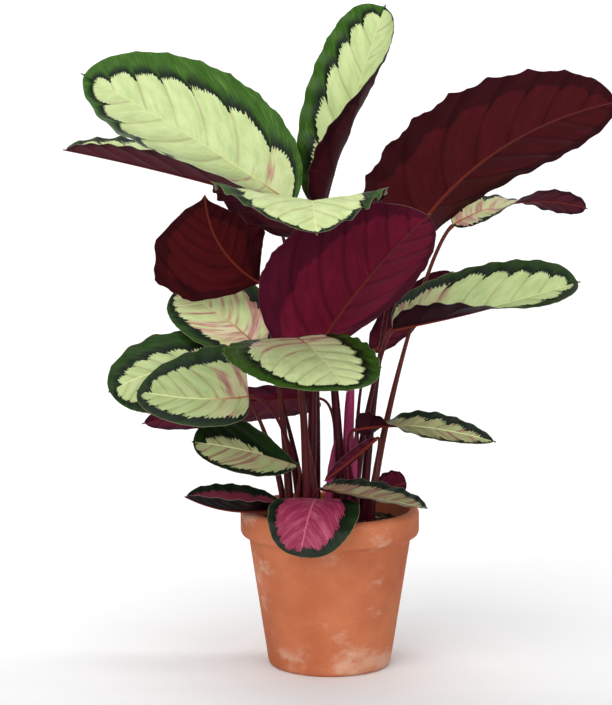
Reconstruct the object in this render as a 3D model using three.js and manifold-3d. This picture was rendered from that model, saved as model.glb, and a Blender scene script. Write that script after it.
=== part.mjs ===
// A rose-painted calathea in a plain clay pot. Millimetres, +Z up.
// The origin is the centre of the pot's underside, and -Y is the plant's front.
// Each leaf is a thin waved blade on its own stalk, and each stalk stands in a plain hole in the soil.
import * as THREE from 'three';
import { mergeVertices } from 'three/addons/utils/BufferGeometryUtils.js';
import Module from 'manifold-3d';

const wasm = await Module();
wasm.setup();

const gap = 0.3; // clearance between pieces that touch

const pot = {
  height: 160,
  rimRadius: 90, // outside of the collar
  collarHeight: 26,
  collarProud: 4,
  footRadius: 62,
  wall: 6,
  floor: 9,
  edge: 3, // bevel on the foot, the collar and the rim
  corner: 4, // bevel between floor and wall, inside
  sides: 36,
  drains: 4,
  drainRadius: 6,
  drainRing: 30, // from the pot's axis to each drain hole's
};

const soil = {
  top: 146,
  mound: 3, // how much higher the middle is than the edge
  holeDepth: 24,
  footClear: 1, // space under each stalk in its hole
  holeSides: 8,
};

const blade = {
  thickness: 0.8,
  ribHalfWidth: 2.2, // the midrib's keel under the blade
  ribDepth: 3.4, // at the base, next to the stalk
  ribTip: 1.1, // at the tip
  ribTaper: 0.7, // share of its width that the keel loses by the tip
  across: [0.56, 1], // where each half is split, as a share of its width
  largeRows: 20,
  smallRows: 12,
  largeFrom: 130, // blades longer than this get the larger number of rows
  bodyEnd: 0.985, // share of the length where the rounded outline would close
  pointFrom: 0.9, // share of the length from which the short point may take over
  pointSlope: 1.3,
};

const stalk = {
  topRadius: 2.1,
  swell: 2.4, // the swollen joint under the blade
  sheathRadius: 4.3, // the clasping foot
  sheathFrom: 0.15, // shares of the height between which the foot narrows to the upper stalk
  sheathEnd: 0.6,
  sides: 6,
  rings: 9,
};

// A rolled leaf's radius along its height, as [share of the height, share of its radius].
const spearForm = [[0, 0.7], [0.15, 0.85], [0.35, 1], [0.6, 0.85], [0.82, 0.55], [1, 0.15]];
const spearFoot = spearForm[0][1];

// Every leaf: where its stalk stands in the soil, then its midrib from base through middle to tip.
// face is the way the upper side looks, at the base and at the tip; the longer one carries further.
// left and right are the blade's halves, seen along the midrib with the upper side up:
// [width, share of the length where it is widest, fold at base, fold at tip, curl at base, curl at
// tip]. A fold lifts the whole half from the midrib, and a curl bends it on towards its margin, both
// in degrees. full is the outline's roundness towards base and tip, where less is fuller. ruffle is the
// share of the half width that the margin's points stand out by, and wave is the height of its waves.
// rise is how far the stalk stays upright above the soil, bend how far it runs in line with the midrib
// before the blade, and stout its thickness beside that of a plain stalk.
const leaves = [
  {
    name: 'high_left',
    root: [-14, 12],
    base: [-37, 40, 462], middle: [-137, 26, 530], tip: [-246, 0, 594],
    face: [[0.15, -1, 0.2], [0.1, -1, 0.1]],
    left: [62, 0.5, -36, -12, -130, -60], right: [75, 0.46, 2, 2, -4, -8],
    full: [0.58, 0.58], ruffle: [0.012, 0.012], wave: 1.2,
    bend: 30, rise: 150, stout: 1.1,
  },
  {
    name: 'side_left',
    root: [-24, 22],
    base: [-69, 82, 469], middle: [-178, 133, 494], tip: [-280, 143, 515],
    face: [[0.1, 0, 1], [0, 0, 1]],
    left: [41, 0.5, 30, 28, 8, 0], right: [46, 0.5, 34, 36, 0, 0],
    full: [0.55, 0.55], ruffle: [0.02, 0.03], wave: 1.4,
    bend: 35, rise: 160, stout: 0.85,
  },
  {
    name: 'top_upright',
    root: [11, 0],
    base: [-8, 66, 455], middle: [24, 70, 564], tip: [56, 60, 663],
    face: [[-0.6, -0.8, 0], [-0.3, -0.95, 0.1]],
    left: [52, 0.5, 10, 5, 10, 0], right: [62, 0.45, 40, 14, 110, 60],
    full: [0.5, 0.34], ruffle: [0.008, 0.04], wave: 1.6,
    bend: 40, rise: 150, stout: 1.15,
  },
  {
    name: 'top_front',
    root: [-19, -2],
    base: [-14, -4, 428], middle: [-18, -118, 475], tip: [-14, -192, 448],
    face: [[0, 0.35, 1], [0.05, -0.4, 1]],
    left: [72, 0.46, 9, 9, 0, 0], right: [96, 0.44, 7, 7, 0, 0],
    full: [0.5, 0.6], ruffle: [0.03, 0.02], wave: 5,
    bend: 40, rise: 150, stout: 1.1,
  },
  {
    name: 'centre_raised',
    root: [-15, -17],
    base: [-27, -16, 300], middle: [30, -68, 391], tip: [93, -112, 462],
    face: [[0.24, 0.9, 0.32], [0.24, 0.9, 0.32]],
    left: [58, 0.55, 38, 38, 10, 10], right: [88, 0.35, 2, 2, 0, 4],
    full: [1.1, 0.68], ruffle: [0.008, 0.01], wave: 1.2,
    bend: 25, rise: 60, stout: 1.15,
  },
  {
    name: 'left_raised',
    root: [-40, -11],
    base: [-69, 24, 384], middle: [-109, 12, 422], tip: [-124, -6, 475],
    face: [[-0.11, 0.92, 0.21], [-0.11, 0.92, 0.21]],
    left: [50, 0.46, 6, 14, 4, 6], right: [76, 0.5, 4, 14, 2, 10],
    full: [1.4, 1.3], ruffle: [0.03, 0.045], wave: 1.4,
    bend: 12, rise: 40, stout: 1.05,
  },
  {
    name: 'high_right',
    root: [34, 8],
    base: [71, 34, 413], middle: [160, 6, 514], tip: [282, -24, 567],
    face: [[0.16, 0.95, 0.12], [0.16, 0.95, 0.12]],
    left: [58, 0.55, 58, 34, 8, 6], right: [76, 0.32, 2, 2, 0, 4],
    full: [0.42, 0.5], ruffle: [0.008, 0.032], wave: 1.8,
    bend: 20, rise: 60, stout: 1.1,
  },
  {
    name: 'right_twisted',
    root: [42, 13],
    base: [126, 60, 441], middle: [194, 70, 464], tip: [264, 66, 457],
    face: [[0, -1, 0.8], [0.05, 1.15, 0.7]],
    left: [23, 0.45, 6, 4, 6, 2], right: [21, 0.45, 6, 4, 6, 2],
    full: [0.5, 0.4], ruffle: [0.03, 0.03], wave: 1.2,
    bend: 30, rise: 60, stout: 0.95,
  },
  {
    name: 'right_cupped',
    root: [24, 4],
    base: [62, -10, 342], middle: [152, -4, 361], tip: [250, 4, 388],
    face: [[-0.1, -0.6, 0.8], [-0.15, -0.7, 0.7]],
    left: [53, 0.5, 8, 8, 4, 0], right: [35, 0.46, 80, 14, 14, 0],
    full: [0.36, 0.42], ruffle: [0.008, 0.03], wave: 1.2,
    bend: 10, rise: 60, stout: 1.05,
  },
  {
    name: 'mid_left',
    root: [-26, 8],
    base: [-70, 20, 318], middle: [-115, 50, 352], tip: [-160, 80, 372],
    face: [[0.1, -0.75, 0.65], [0.1, -0.8, 0.6]],
    left: [46, 0.46, 8, 8, 0, 0], right: [50, 0.46, 8, 8, 0, 0],
    full: [0.5, 0.45], ruffle: [0.008, 0.008], wave: 1.1,
    bend: 25, rise: 40, stout: 0.85,
  },
  {
    name: 'centre_front',
    root: [-23, -26],
    base: [-32, -44, 337], middle: [-9, -128, 327], tip: [14, -200, 306],
    face: [[0, -0.2, 1], [0.05, -0.5, 0.85]],
    left: [52, 0.46, 10, 6, -8, -16], right: [92, 0.48, 5, 8, -2, -2],
    full: [0.4, 0.34], ruffle: [0.01, 0.014], wave: 1.1,
    bend: 12, rise: 110, stout: 1.1,
  },
  {
    name: 'low_left_back',
    root: [-46, 2],
    base: [-115, 10, 306], middle: [-170, 10, 298], tip: [-223, 6, 276],
    face: [[0.1, -0.65, 0.75], [-0.1, -0.7, 0.7]],
    left: [56, 0.48, 4, 4, -4, -4], right: [45, 0.44, 6, 6, -6, -6],
    full: [0.5, 0.48], ruffle: [0.016, 0.018], wave: 1.1,
    bend: 25, rise: 60, stout: 0.8,
  },
  {
    name: 'low_left_front',
    root: [-31, -10],
    base: [-80, -50, 280], middle: [-133, -44, 277], tip: [-192, -30, 283],
    face: [[0.1, -0.65, 0.75], [0, -0.7, 0.7]],
    left: [38, 0.36, 8, 8, -8, -8], right: [67, 0.32, 6, 6, -4, -6],
    full: [0.34, 0.45], ruffle: [0.01, 0.01], wave: 0.9,
    bend: 25, rise: 72, stout: 0.85,
  },
  {
    name: 'low_left_edge',
    root: [6, 30],
    base: [-12, 42, 266], middle: [-103, 70, 255], tip: [-195, 84, 232],
    face: [[0, 0.7, 0.7], [0, 0.6, 0.8]],
    left: [24, 0.5, 4, 4, 0, 0], right: [44, 0.6, 4, 4, 0, 0],
    full: [0.2, 0.5], ruffle: [0.015, 0.015], wave: 1,
    bend: 24, rise: 70, stout: 0.72,
  },
  {
    name: 'basal_left',
    root: [-35, -24],
    base: [-32, -34, 209], middle: [-84, -48, 226], tip: [-136, -56, 236],
    face: [[0, -0.6, 0.8], [0, -0.65, 0.75]],
    left: [36, 0.5, 8, 8, 0, 0], right: [35, 0.6, 8, 8, 0, -6],
    full: [0.8, 0.45], ruffle: [0.012, 0.014], wave: 0.9,
    bend: 8, rise: 30, stout: 0.75,
  },
  {
    name: 'ground_left',
    root: [-44, -28],
    base: [-47, -38, 169], middle: [-96, -52, 167], tip: [-143, -58, 182],
    face: [[0, -0.05, 1], [0, -0.05, 1]],
    left: [28, 0.5, 32, 32, 4, 4], right: [34, 0.5, 40, 34, 2, 0],
    full: [0.5, 0.5], ruffle: [0.01, 0.014], wave: 0.9,
    bend: 8, rise: 10, stout: 0.72,
  },
  {
    name: 'rim_front',
    root: [-12, -38],
    base: [-12, -47, 177], middle: [-20, -88, 173], tip: [-30, -114, 132],
    face: [[-0.05, -0.3, 0.95], [-0.1, -0.9, 0.35]],
    left: [48, 0.47, 4, 4, -8, -8], right: [41, 0.52, 4, 4, -8, -8],
    full: [0.5, 0.36], ruffle: [0.006, 0.008], wave: 0.7,
    bend: 8, rise: 14, stout: 0.75,
  },
  {
    name: 'low_right_twisted',
    root: [27, -22],
    base: [26, -38, 246], middle: [84, -48, 250], tip: [162, -58, 236],
    face: [[0, 0.35, 0.1], [-0.1, -0.75, 0.7]],
    left: [20, 0.45, 12, 12, 6, 6], right: [22, 0.45, 12, 12, 6, 6],
    full: [0.36, 0.6], ruffle: [0.03, 0.03], wave: 1.2,
    bend: 20, rise: 40, stout: 0.8,
  },
  {
    name: 'ground_right',
    root: [-20, -41],
    base: [-8, -43, 188], middle: [44, -57, 180], tip: [95, -66, 172],
    face: [[0.1, -0.1, 1], [0, -0.1, 1]],
    left: [28, 0.5, 20, 14, 4, 4], right: [26, 0.5, 12, 10, 4, 4],
    full: [0.5, 0.5], ruffle: [0.03, 0.03], wave: 1.1,
    bend: 8, rise: 26, stout: 0.72,
  },
  {
    name: 'ground_right_back',
    root: [40, 30],
    base: [46, 27, 165], middle: [61, 30, 174], tip: [79, 30, 179],
    face: [[0, 0.9, 0.3], [0, 0.9, 0.3]],
    left: [15, 0.5, 10, 10, 4, 4], right: [17, 0.6, 10, 10, 4, 4],
    full: [0.4, 0.36], ruffle: [0.03, 0.03], wave: 0.9,
    bend: 6, rise: 6, stout: 0.6,
  },
  {
    name: 'mid_right_back',
    root: [26, 29],
    base: [44, 66, 310], middle: [82, 68, 347], tip: [127, 66, 393],
    face: [[-0.2, 0.85, 0.3], [-0.2, 0.85, 0.3]],
    left: [20, 0.5, 14, 14, 4, 4], right: [24, 0.5, 14, 14, 4, 4],
    full: [0.5, 0.5], ruffle: [0.02, 0.02], wave: 1.1,
    bend: 20, rise: 80, stout: 0.75,
  },
  {
    name: 'narrow_bract',
    root: [38, -26],
    base: [44, -36, 236], middle: [20, -46, 216], tip: [-6, -52, 196],
    face: [[0.3, 0.6, 0.6], [0.3, 0.6, 0.6]],
    left: [8, 0.5, 20, 20, 6, 6], right: [8, 0.5, 20, 20, 6, 6],
    full: [0.55, 0.6], ruffle: [0.01, 0.01], wave: 0.4,
    bend: 14, rise: 40, stout: 0.6,
  },
];

// Young leaves, still rolled up: where each stands, its pointed top and its half width.
const spears = [
  { name: 'new_leaf_left', root: [-1, -13], top: [5, -14, 231], radius: 3.9 },
  { name: 'new_leaf_right', root: [22, -13], top: [26, -16, 240], radius: 4.8 },
  { name: 'new_leaf_tall', root: [18, 12], top: [24, 10, 326], radius: 5.6 },
];

const vector = (list) => new THREE.Vector3(...list);
const radians = THREE.MathUtils.degToRad;
const mix = THREE.MathUtils.lerp;
const upward = new THREE.Vector3(0, 0, 1);

// The midrib's curve passes through its three given points.
function midrib(leaf) {
  const [base, middle, tip] = [leaf.base, leaf.middle, leaf.tip].map(vector);
  const handle = middle.clone().multiplyScalar(2).addScaledVector(base, -0.5).addScaledVector(tip, -0.5);
  return new THREE.QuadraticBezierCurve3(base, handle, tip);
}

// Position, direction, right side and upper side of the leaf at a share u of the midrib.
function leafFrame(leaf, curve, u) {
  const at = curve.getPoint(u);
  const along = curve.getTangent(u);
  const up = vector(leaf.face[0]).lerp(vector(leaf.face[1]), u);
  up.addScaledVector(along, -up.dot(along)).normalize();
  const right = along.clone().cross(up);
  return { at, along, right, up };
}

// The outline's half width at a share u of the length, from 0 to 1, with a short point at the tip.
function outline(u, widest, full) {
  const s = Math.min(1, u / blade.bodyEnd) ** (Math.log(0.5) / Math.log(widest));
  const body = (4 * s * (1 - s)) ** full[s < 0.5 ? 0 : 1];
  const point = u > blade.pointFrom ? blade.pointSlope * (1 - u) : 0;
  return Math.max(body, point);
}

// The points across one row, from the left margin over the midrib to the right margin. Rows lie
// closer together towards base and tip, and every other one stands out at the margin and is raised.
function bladeRow(leaf, curve, rows, row) {
  const t = row / rows;
  const u = mix(t, (1 - Math.cos(Math.PI * t)) / 2, 0.5);
  const swing = row % 2 ? -1 : 1;
  const wave = leaf.wave * Math.sin(Math.PI * u) ** 0.5 * swing;
  const { at, right, up } = leafFrame(leaf, curve, u);
  const turn = THREE.MathUtils.smoothstep(u, 0, 1);
  const [inner, margin] = blade.across;
  const columns = [[-1, margin], [-1, inner], [-1, 'keel'], [1, 0], [1, 'keel'], [1, inner], [1, margin]];
  return columns.map(([side, column]) => {
    const [width, widest, foldBase, foldTip, curlBase, curlTip] = side < 0 ? leaf.left : leaf.right;
    const ruffle = leaf.ruffle[side < 0 ? 0 : 1];
    const keel = blade.ribHalfWidth * (1 - blade.ribTaper * u);
    const reach = Math.max(width * outline(u, widest, leaf.full) * (1 + ruffle * swing), keel);
    const share = column === 'keel' ? Math.min(keel / reach, 0.4) : column;
    const fold = radians(mix(foldBase, foldTip, turn));
    const curl = radians(mix(curlBase, curlTip, turn)) || 1e-6;
    const angle = share ? fold + curl * share : 0;
    const out = (reach * (Math.sin(fold + curl * share) - Math.sin(fold))) / curl;
    const lift = (reach * (Math.cos(fold) - Math.cos(fold + curl * share))) / curl;
    const normal = up.clone().multiplyScalar(Math.cos(angle)).addScaledVector(right, -side * Math.sin(angle));
    const top = at.clone().addScaledVector(right, side * out).addScaledVector(up, lift);
    top.addScaledVector(normal, wave * share ** 3);
    const depth = share ? blade.thickness : mix(blade.ribDepth, blade.ribTip, u ** 0.6);
    return { top, under: top.clone().addScaledVector(normal, -depth) };
  });
}

function bladeGeometry(leaf) {
  const curve = midrib(leaf);
  const rows = curve.getLength() > blade.largeFrom ? blade.largeRows : blade.smallRows;
  const points = Array.from({ length: rows + 1 }, (_, row) => bladeRow(leaf, curve, rows, row)).flat();
  return closedGrid(points.map((p) => p.top), points.map((p) => p.under), rows, 6);
}

// Two alike grids of points, one over the other, joined round the edge into one closed body.
function closedGrid(top, under, rows, columns) {
  const index = [];
  const stride = columns + 1;
  const lower = top.length;
  const quad = (a, b, c, d) => index.push(a, b, c, a, c, d);
  for (let r = 0; r < rows; r++) {
    for (let c = 0; c < columns; c++) {
      // Both faces are split along the same diagonal.
      const [a, b, d, e] = [0, 1, stride, stride + 1].map((step) => r * stride + c + step);
      index.push(a, b, e, a, e, d);
      index.push(a + lower, e + lower, b + lower, a + lower, d + lower, e + lower);
    }
    const left = r * stride;
    const right = left + columns;
    quad(left, left + stride, left + stride + lower, left + lower);
    quad(right + stride, right, right + lower, right + stride + lower);
  }
  const last = rows * stride;
  for (let c = 0; c < columns; c++) {
    quad(c + 1, c, c + lower, c + 1 + lower);
    quad(last + c, last + c + 1, last + c + 1 + lower, last + c + lower);
  }
  const geometry = new THREE.BufferGeometry().setFromPoints([...top, ...under]);
  geometry.setIndex(index);
  return geometry;
}

// The buried foot of a stalk or a rolled leaf, straight down from where it leaves the soil.
function buried(root, radius) {
  const foot = new THREE.Vector3(...root, soil.top - soil.holeDepth + soil.footClear);
  return { centre: foot, along: upward, radius };
}

// A stalk leaves the soil upright, leans out, and bends into the blade's base.
function stalkGeometry(leaf) {
  const { at, along, up } = leafFrame(leaf, midrib(leaf), 0);
  const end = at.addScaledVector(along, -gap).addScaledVector(up, -blade.ribDepth / 2);
  const root = new THREE.Vector3(...leaf.root, soil.top);
  const above = root.clone().setZ(soil.top + leaf.rise);
  const curve = new THREE.CubicBezierCurve3(root, above, end.clone().addScaledVector(along, -leaf.bend), end);
  const rings = [buried(leaf.root, stalk.sheathRadius * leaf.stout)];
  for (let k = 0; k < stalk.rings; k++) {
    const t = k / (stalk.rings - 1);
    const sheath = THREE.MathUtils.smoothstep(t, stalk.sheathFrom, stalk.sheathEnd);
    const radius = leaf.stout * (t === 1 ? stalk.swell : mix(stalk.sheathRadius, stalk.topRadius, sheath));
    rings.push({ centre: curve.getPoint(t), along: curve.getTangent(t), radius });
  }
  return tube(rings);
}

function spearGeometry({ root, top, radius }) {
  const foot = new THREE.Vector3(...root, soil.top);
  const above = foot.clone().setZ(mix(soil.top, top[2], 0.6));
  const curve = new THREE.QuadraticBezierCurve3(foot, above, vector(top));
  const rings = [buried(root, radius * spearFoot)];
  for (const [t, share] of spearForm) {
    rings.push({ centre: curve.getPoint(t), along: curve.getTangent(t), radius: radius * share });
  }
  return tube(rings);
}

// A closed tube of straight facets through the given rings.
function tube(rings) {
  const { sides } = stalk;
  const positions = [];
  const index = [];
  const across = new THREE.Vector3(1, 0, 0);
  for (const { centre, along, radius } of rings) {
    across.addScaledVector(along, -across.dot(along)).normalize();
    const other = along.clone().cross(across);
    for (let s = 0; s < sides; s++) {
      const a = (2 * Math.PI * s) / sides;
      const p = centre.clone().addScaledVector(across, radius * Math.cos(a));
      positions.push(p.addScaledVector(other, radius * Math.sin(a)));
    }
  }
  const last = (rings.length - 1) * sides;
  for (let k = 0; k < last; k += sides) {
    for (let s = 0; s < sides; s++) {
      const [a, b] = [k + s, k + ((s + 1) % sides)];
      index.push(a, b, b + sides, a, b + sides, a + sides);
    }
  }
  for (let s = 1; s < sides - 1; s++) {
    index.push(0, s + 1, s);
    index.push(last, last + s, last + s + 1);
  }
  const geometry = new THREE.BufferGeometry().setFromPoints(positions);
  geometry.setIndex(index);
  return geometry;
}

// A closed geometry as a solid that can be cut, and back again.
function solid(geometry) {
  const bare = new THREE.BufferGeometry().setAttribute('position', geometry.getAttribute('position').clone());
  if (geometry.index) bare.setIndex(geometry.index.clone());
  const merged = mergeVertices(bare, 1e-3);
  return new wasm.Manifold(new wasm.Mesh({
    numProp: 3,
    vertProperties: merged.attributes.position.array,
    triVerts: new Uint32Array(merged.index.array),
  }));
}

function geometryOf(body) {
  const mesh = body.getMesh();
  const geometry = new THREE.BufferGeometry();
  geometry.setAttribute('position', new THREE.BufferAttribute(mesh.vertProperties, 3));
  geometry.setIndex(new THREE.BufferAttribute(mesh.triVerts, 1));
  return geometry;
}

// Turned shapes are drawn as [radius, height] pairs and stood up along Z.
function turned(profile, sides) {
  const lathe = new THREE.LatheGeometry(profile.map(([r, z]) => new THREE.Vector2(r, z)), sides);
  return lathe.rotateX(Math.PI / 2);
}

function upright(radius, height, x, y, bottom, sides) {
  const cylinder = new THREE.CylinderGeometry(radius, radius, height, sides).rotateX(Math.PI / 2);
  return cylinder.translate(x, y, bottom + height / 2);
}

// The pot's outer radius under its collar, at a height z.
const bodyRadius = (z) => mix(pot.footRadius, pot.rimRadius - pot.collarProud, z / pot.height);
const innerRadius = (z) => bodyRadius(z) - pot.wall;

function potGeometry() {
  const { height, floor, edge, corner, rimRadius, footRadius } = pot;
  const collar = height - pot.collarHeight;
  const profile = [
    [0, 0], [footRadius - edge, 0], [footRadius, edge],
    [bodyRadius(collar - edge), collar - edge], [rimRadius - edge / 2, collar],
    [rimRadius, collar + edge], [rimRadius, height - edge], [rimRadius - edge, height],
    [innerRadius(height) + edge / 2, height], [innerRadius(height - edge), height - edge],
    [innerRadius(floor + corner), floor + corner], [innerRadius(floor) - corner, floor], [0, floor],
  ];
  let body = solid(turned(profile, pot.sides));
  for (let k = 0; k < pot.drains; k++) {
    const a = (2 * Math.PI * (k + 0.5)) / pot.drains;
    const [x, y] = [pot.drainRing * Math.cos(a), pot.drainRing * Math.sin(a)];
    body = body.subtract(solid(upright(pot.drainRadius, pot.floor + 2, x, y, -1, 12)));
  }
  return geometryOf(body);
}

// The soil fills the pot, 0.3 mm clear of it, and its top falls a little towards the edge.
function soilGeometry() {
  const { floor, corner } = pot;
  const edge = soil.top - soil.mound;
  const profile = [
    [0, floor + gap], [innerRadius(floor) - corner - gap, floor + gap],
    [innerRadius(floor + corner) - gap, floor + corner + gap],
    [innerRadius(edge) - 2 * gap, edge],
    [innerRadius(edge) * 0.72, soil.top - soil.mound / 5], [0, soil.top],
  ];
  let body = solid(turned(profile, pot.sides));
  const feet = leaves.map((leaf) => [leaf.root, stalk.sheathRadius * leaf.stout]);
  feet.push(...spears.map((spear) => [spear.root, spear.radius * spearFoot]));
  for (const [root, foot] of feet) {
    const radius = (foot + gap) / Math.cos(Math.PI / soil.holeSides);
    const hole = upright(radius, soil.holeDepth + 5, ...root, soil.top - soil.holeDepth, soil.holeSides);
    body = body.subtract(solid(hole));
  }
  return geometryOf(body);
}

const finish = {
  clay: new THREE.MeshStandardMaterial({ color: 0xb8683f, roughness: 0.85, metalness: 0 }),
  soil: new THREE.MeshStandardMaterial({ color: 0x2b1d14, roughness: 1, metalness: 0 }),
  blade: new THREE.MeshStandardMaterial({ color: 0x5f8a3c, roughness: 0.45, metalness: 0 }),
  stalk: new THREE.MeshStandardMaterial({ color: 0x5a1a2a, roughness: 0.5, metalness: 0 }),
  spear: new THREE.MeshStandardMaterial({ color: 0x9c2a62, roughness: 0.5, metalness: 0 }),
};

const plant = new THREE.Group();

function place(name, geometry, material) {
  const mesh = new THREE.Mesh(geometry, material);
  mesh.name = name;
  plant.add(mesh);
}

place('pot', potGeometry(), finish.clay);
place('soil', soilGeometry(), finish.soil);
for (const leaf of leaves) {
  place(leaf.name + '_blade', bladeGeometry(leaf), finish.blade);
  place(leaf.name + '_stalk', stalkGeometry(leaf), finish.stalk);
}
for (const spear of spears) place(spear.name, spearGeometry(spear), finish.spear);

export default plant;
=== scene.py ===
import math
import random

import bpy
import numpy as np
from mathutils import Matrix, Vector


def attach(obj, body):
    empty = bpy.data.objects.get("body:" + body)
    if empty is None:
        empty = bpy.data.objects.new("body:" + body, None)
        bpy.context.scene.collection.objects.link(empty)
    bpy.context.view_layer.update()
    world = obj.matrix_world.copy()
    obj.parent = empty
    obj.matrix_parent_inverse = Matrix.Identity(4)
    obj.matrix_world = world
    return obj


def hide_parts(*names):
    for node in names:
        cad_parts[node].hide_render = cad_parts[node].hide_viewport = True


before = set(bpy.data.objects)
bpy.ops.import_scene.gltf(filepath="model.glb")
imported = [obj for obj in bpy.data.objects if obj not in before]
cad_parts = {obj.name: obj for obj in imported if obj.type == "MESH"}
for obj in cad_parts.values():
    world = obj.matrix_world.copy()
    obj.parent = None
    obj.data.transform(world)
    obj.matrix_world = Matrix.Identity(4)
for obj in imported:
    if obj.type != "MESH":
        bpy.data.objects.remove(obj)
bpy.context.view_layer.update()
mm = 0.001
print("frame loaded:", len(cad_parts), "nodes")

# camera, lights and floor, in metres

cameraView = {
    "target": (-0.024, 0.0, 0.317),
    "distance": 2.2,
    "elevation": 7,  # degrees above the horizon
    "focalPixels": 2200, "pictureHeight": 705,
    "sensor": 36,
}

studio = {
    "world": (0.95, 0.97, 1.0), "worldStrength": 0.26,
    "floorColour": (0.9, 0.9, 0.9), "floorGrain": 0.985,
    "sweepWidth": 7.0, "sweepDepth": 3.2, "sweepHeight": 3.2, "sweepBend": 1.1, "sweepFront": 5.12,
    "sweepSteps": 24,
    # name, place, aimed at, width, height, power, colour
    "lamps": [
        ("keyLamp", (-1.3, -2.5, 1.9), (0, 0, 0.4), 2.4, 2.0, 62, (1.0, 0.99, 0.97)),
        ("fillLamp", (1.2, -2.7, 0.9), (0, 0, 0.35), 2.0, 1.6, 32, (0.97, 0.98, 1.0)),
        ("topLamp", (-0.2, -0.5, 2.9), (0, 0, 0.3), 1.8, 1.8, 22, (1.0, 1.0, 1.0)),
        ("backdropLamp", (0, 0.9, 2.6), (0, 3.2, 0.9), 3.0, 1.0, 70, (1.0, 1.0, 1.0)),
    ],
}


def aimed(thing, spot, target):
    # puts a camera or lamp at the spot, turned to the target
    thing.location = spot
    thing.rotation_euler = (Vector(target) - Vector(spot)).to_track_quat("-Z", "Y").to_euler()
    bpy.context.collection.objects.link(thing)


def makeCamera():
    angle = math.radians(cameraView["elevation"])
    target = Vector(cameraView["target"])
    data = bpy.data.cameras.new("camera")
    data.sensor_fit = "VERTICAL"
    data.sensor_height = cameraView["sensor"]
    data.lens = cameraView["sensor"] * cameraView["focalPixels"] / cameraView["pictureHeight"]
    camera = bpy.data.objects.new("camera", data)
    aimed(camera, target + cameraView["distance"] * Vector((0, -math.cos(angle), math.sin(angle))), target)
    bpy.context.scene.camera = camera


def makeLights():
    for name, spot, target, width, height, power, colour in studio["lamps"]:
        data = bpy.data.lights.new(name, "AREA")
        data.shape = "RECTANGLE"
        data.size, data.size_y = width, height
        data.energy = power
        data.color = colour
        aimed(bpy.data.objects.new(name, data), spot, target)
    world = bpy.data.worlds.new("studioWorld")
    world.use_nodes = True
    background = world.node_tree.nodes["Background"]
    background.inputs["Color"].default_value = (*studio["world"], 1)
    background.inputs["Strength"].default_value = studio["worldStrength"]
    bpy.context.scene.world = world
    bpy.context.scene.view_settings.view_transform = "Standard"


# small tools for meshes and materials

def linear(red, green, blue):
    # a colour as read on a screen, 0 to 255, turned into the linear one that shaders use
    return tuple(((c / 255 + 0.055) / 1.055) ** 2.4 if c > 10 else c / 3294 for c in (red, green, blue))


def palette(**colours):
    return {name: linear(*colour) for name, colour in colours.items()}


def smooth(low, high, value):
    t = np.clip((value - low) / (high - low), 0, 1)
    return t * t * (3 - 2 * t)


def unit(vectors):
    return vectors / np.linalg.norm(vectors, axis=-1, keepdims=True)


def makePiece(name, points, faces, materials, faceMaterial=None, sharp=50):
    mesh = bpy.data.meshes.new(name)
    mesh.from_pydata((np.asarray(points) * mm).tolist(), [], faces)
    for material in materials:
        mesh.materials.append(material)
    if faceMaterial is not None:
        mesh.polygons.foreach_set("material_index", faceMaterial)
    mesh.polygons.foreach_set("use_smooth", [True] * len(mesh.polygons))
    mesh.set_sharp_from_angle(angle=math.radians(sharp))
    mesh.validate()
    piece = bpy.data.objects.new(name, mesh)
    bpy.context.collection.objects.link(piece)
    return piece


def addMap(piece, name, values):
    # one pair of numbers for every point, kept as a UV map
    mesh = piece.data
    corners = np.empty(len(mesh.loops), dtype=np.int32)
    mesh.loops.foreach_get("vertex_index", corners)
    layer = mesh.uv_layers.new(name=name)
    layer.data.foreach_set("uv", np.asarray(values, dtype=np.float32)[corners].ravel())


def addColour(piece, name, values):
    # three numbers for every point, or the same three for all, kept as a colour
    rows = np.ones((len(piece.data.vertices), 4), dtype=np.float32)
    rows[:, :3] = values
    layer = piece.data.color_attributes.new(name, "FLOAT_COLOR", "POINT")
    layer.data.foreach_set("color", rows.ravel())


def standFor(piece, node):
    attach(piece, "root")
    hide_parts(node)


def newMaterial(name, **constants):
    # the node tools below add to the newest material's tree
    global tree
    material = bpy.data.materials.new(name)
    material.use_nodes = True
    tree = material.node_tree
    shader = tree.nodes["Principled BSDF"]
    for socket, value in constants.items():
        shader.inputs[socket.replace("_", " ")].default_value = value
    return material, shader


def plug(socket, value):
    if isinstance(value, bpy.types.NodeSocket):
        tree.links.new(value, socket)
    elif isinstance(value, tuple) and len(value) == 3 and len(socket.default_value) == 4:
        socket.default_value = (*value, 1)
    else:
        socket.default_value = value


def sums(operation, first, second=0.0):
    node = tree.nodes.new("ShaderNodeMath")
    node.operation = operation
    plug(node.inputs[0], first)
    plug(node.inputs[1], second)
    return node.outputs[0]


def times(first, second):
    return sums("MULTIPLY", first, second)


def plus(first, second):
    return sums("ADD", first, second)


def minus(first, second):
    return sums("SUBTRACT", first, second)


def step(value, low, high, toValue=1.0, fromValue=0.0):
    # a soft step: fromValue below low, toValue above high
    node = tree.nodes.new("ShaderNodeMapRange")
    node.interpolation_type = "SMOOTHSTEP"
    for key, given in zip(("Value", "From Min", "From Max", "To Min", "To Max"),
                          (value, low, high, fromValue, toValue)):
        plug(node.inputs[key], given)
    return node.outputs["Result"]


def ramp(value, stops):
    node = tree.nodes.new("ShaderNodeValToRGB")
    elements = node.color_ramp.elements
    while len(elements) < len(stops):
        elements.new(0.5)
    for element, (position, colour) in zip(elements, stops):
        element.position = position
        element.color = (*colour, 1) if isinstance(colour, tuple) else (colour, colour, colour, 1)
    plug(node.inputs["Fac"], value)
    return node.outputs["Color"]


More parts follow.
